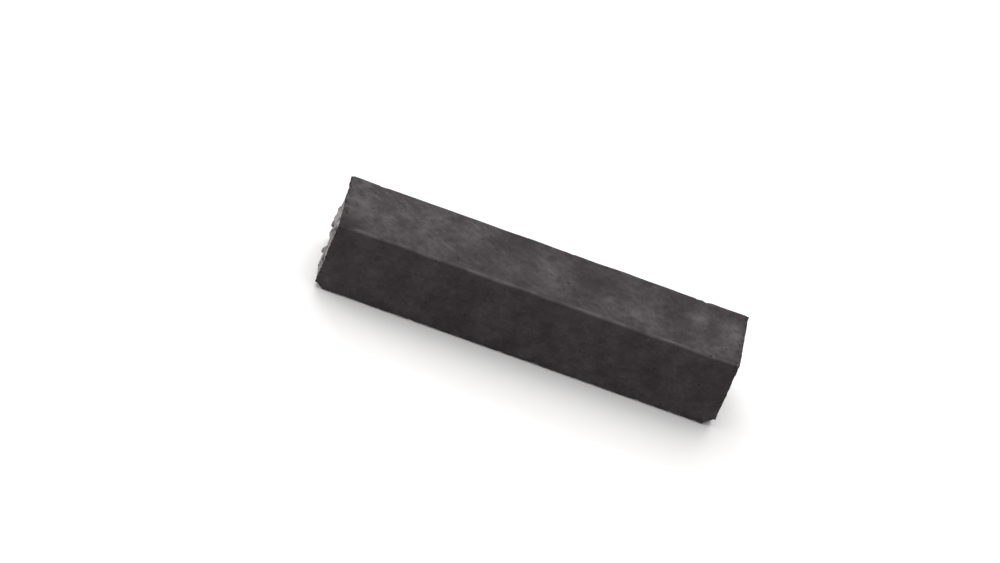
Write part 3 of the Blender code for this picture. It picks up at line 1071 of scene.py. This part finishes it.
    def mark(self) -> None:
        """Works out what the materials read: ash dust, with part of the top's brighter light painted in,
        rubbed edges and proud bumps with a painted highlight, and painted shade in the breaks' crevices and
        pits.
        """
        dust_and_top_light, rubbed_and_highlit, painted_shade = (self.bar.verts.layers.float[name] for name in ("dust_and_top_light", "rubbed_and_highlit", "painted_shade"))
        self.bar.normal_update()
        for vertex in self.bar.verts:
            neighbours = [edge.other_vert(vertex).co for edge in vertex.link_edges]
            middle = sum(neighbours, Vector()) / len(neighbours)
            spread = sum((co - vertex.co).length for co in neighbours) / len(neighbours)
            curve = (middle - vertex.co).dot(vertex.normal) / max(spread, SHORTEST)
            band = (self.side - width for width in self.rub_band)
            at_edge = smooth_step(*band, abs(vertex.co.y) + abs(vertex.co.z))
            up = smooth_step(*self.rub_faces, vertex.normal.z)
            vertex[dust_and_top_light] = self.dust_at(vertex.co, vertex.normal)
            wiped = smooth_step(*self.rub_wiped, vertex[dust_and_top_light])
            # Edges, more where they face up, and proud bumps are worn and get a painted highlight
            proud_highlight = smooth_step(*self.bump_curve, -curve)
            edge = at_edge * (self.rub_of_sides + self.rub_and_highlight_on_top * up) * wiped
            vertex[rubbed_and_highlit] = min(1.0, edge + self.highlight_of_bumps * proud_highlight)
            # On the breaks: painted shade in hollows and deep places, and a painted highlight on proud crumbs
            if vertex.index in self.zones[Zone.BREAK]:
                deep_shade = smooth_step(*self.shaded_depth, self.length / 2 - abs(vertex.co.x))
                hollow = smooth_step(*self.hollow_curve, curve)
                vertex[painted_shade] = min(1.0, self.shade_by_depth * deep_shade + self.shade_by_hollow * hollow)
                vertex[rubbed_and_highlit] = self.highlight_of_crumbs * proud_highlight

    def mesh(self) -> bpy.types.Mesh:
        """Builds the bar's mesh, centred on its own middle.

        Returns:
            The mesh, with its attributes and its materials' zones.
        """
        self.frame_block()
        self.sort_faces()
        self.cut_loops()
        self.stretch()
        bmesh.ops.recalc_face_normals(self.bar, faces=self.bar.faces[:])
        self.sort_points()
        self.break_ends()
        self.wear_edges()
        self.press_bites()
        self.press_pits()
        self.relax()
        self.dent_skin()
        self.ravel_rims()
        self.crumble_mouths()
        self.crumble()
        self.mark()
        mesh = bpy.data.meshes.new("charcoal_bar")
        self.bar.to_mesh(mesh)
        self.bar.free()
        return mesh

    def build(self, low: Vector, high: Vector) -> bpy.types.Object:
        """Makes the bar's object where the solid is, inside the solid's box.

        Args:
            low: The solid's lowest corner.
            high: The solid's highest corner.

        Returns:
            The dressed bar.
        """
        mesh = self.mesh()
        along = [vertex.co.x for vertex in mesh.vertices]
        middle_x = (min(along) + max(along)) / 2
        shift = Vector(((low.x + high.x) / 2 - middle_x, (low.y + high.y) / 2, (low.z + high.z) / 2))
        for vertex in mesh.vertices:
            moved = vertex.co + shift
            vertex.co = [min(high[axis], max(low[axis], moved[axis])) for axis in range(3)]
        for finish in (PressedSkin(), BrokenCharcoal(), FlueWall()):
            mesh.materials.append(finish.material())
        bar = add_object("charcoal_bar", mesh)
        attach(bar, "root")
        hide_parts("briquette")
        return bar


@dataclass(frozen=True)
class SoftBox:
    """A large soft light that faces the bar."""

    name: str
    azimuth: float
    elevation: float
    distance: float
    width: float
    height: float
    power: float

    def light(self) -> bpy.types.Light:
        """Makes the light.

        Returns:
            The light.
        """
        light = bpy.data.lights.new(self.name, "AREA")
        light.shape = "RECTANGLE"
        light.size = self.width
        light.size_y = self.height
        light.energy = self.power
        return light


@dataclass(frozen=True)
class Ceiling:
    """An overhead light as wide as a ceiling of diffusers."""

    name: str = "ceiling_light"
    azimuth: float = 190.0
    elevation: float = 78.0
    distance: float = 3.0
    spread: float = 65.0
    strength: float = 1.9

    def light(self) -> bpy.types.Light:
        """Makes the light.

        Returns:
            The light.
        """
        light = bpy.data.lights.new(self.name, "SUN")
        light.energy = self.strength
        light.angle = math.radians(self.spread)
        return light


@dataclass
class Studio:
    """A plain pale table under soft studio light."""

    floor_size: float = 40.0
    floor_colour: str = "#F4F3F2"
    floor_roughness: float = 0.9
    floor_specular: float = 0.1
    sky_colour: str = "#F7F7F8"
    sky_strength: float = 0.55
    lights: tuple[Ceiling | SoftBox, ...] = (
        Ceiling(),
        SoftBox("back_box", 186.0, 36.0, 1.8, 2.0, 0.9, 12.0),
        SoftBox("left_box", 258.0, 6.0, 1.3, 0.9, 0.26, 12.0),
    )

    def floor(self) -> None:
        """Lays the floor."""
        sheet = bmesh.new()
        bmesh.ops.create_grid(sheet, x_segments=1, y_segments=1, size=self.floor_size / 2)
        mesh = bpy.data.meshes.new("studio_floor")
        sheet.to_mesh(mesh)
        sheet.free()
        material, _, shader = new_material("matt white table")
        inputs = {
            "Base Color": linear(self.floor_colour),
            "Roughness": self.floor_roughness,
            "Specular IOR Level": self.floor_specular,
        }
        feed(shader, inputs)
        mesh.materials.append(material)
        add_object("studio_floor", mesh)

    def sky(self) -> None:
        """Sets the even light from all round."""
        world = bpy.data.worlds.new("studio")
        world.use_nodes = True
        inputs = {"Color": linear(self.sky_colour), "Strength": self.sky_strength}
        feed(world.node_tree.nodes["Background"], inputs)
        bpy.context.scene.world = world

    def build(self, aim: Vector) -> None:
        """Sets up the floor, the lights and how the picture is shown.

        Args:
            aim: The point that the lights face.
        """
        self.floor()
        self.sky()
        for light in self.lights:
            lamp = add_object(light.name, light.light())
            lamp.visible_camera = False
            away = direction(light.azimuth, light.elevation)
            lamp.location = aim + away * light.distance
            lamp.rotation_euler = (-away).to_track_quat("-Z", "Y").to_euler()
        settings = bpy.context.scene.view_settings
        settings.view_transform = "Standard"
        settings.look = "None"
        settings.exposure = 0.0


@dataclass
class Camera:
    """A long lens that looks down on the bar, rolled so that the bar slopes down to the right."""

    azimuth: float = -6.69
    elevation: float = 37.14
    roll: float = 23.64
    focal_pixels: float = 8000.0
    distance: float = 4.254
    # Where the bar's middle is on a picture of 1000 by 563
    picture: tuple[float, float] = (1000.0, 563.0)
    middle_on_picture: tuple[float, float] = (531.55, 301.17)
    sensor: float = 36.0
    furthest: float = 100.0

    def build(self, middle: Vector) -> None:
        """Places the camera and makes it the scene's own.

        Args:
            middle: The middle of the bar.
        """
        lens = bpy.data.cameras.new("camera")
        lens.sensor_width = self.sensor
        lens.lens = self.focal_pixels * self.sensor / self.picture[0]
        lens.clip_end = self.furthest
        back = direction(self.azimuth, self.elevation)
        level = (-back).to_track_quat("-Z", "Y").to_matrix()
        rolled = level @ Matrix.Rotation(math.radians(self.roll), 3, "Z")
        per_pixel = self.distance / self.focal_pixels
        right = (self.middle_on_picture[0] - self.picture[0] / 2) * per_pixel
        down = (self.middle_on_picture[1] - self.picture[1] / 2) * per_pixel
        place = middle + back * self.distance - rolled.col[0] * right + rolled.col[1] * down
        camera = add_object("camera", lens)
        camera.matrix_world = Matrix.Translation(place) @ rolled.to_4x4()
        bpy.context.scene.camera = camera


def main() -> None:
    """Builds the bar, dresses it and sets up the studio."""
    logging.basicConfig(level=logging.INFO, format="%(message)s")
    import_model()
    low, high = (Vector(corner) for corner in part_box("briquette"))
    middle = (low + high) / 2
    Camera().build(middle)
    Studio().build(middle)
    bar = CharcoalBar().build(low, high)
    log.info("%s: %d faces", bar.name, len(bar.data.polygons))


if __name__ == "__main__":
    main()
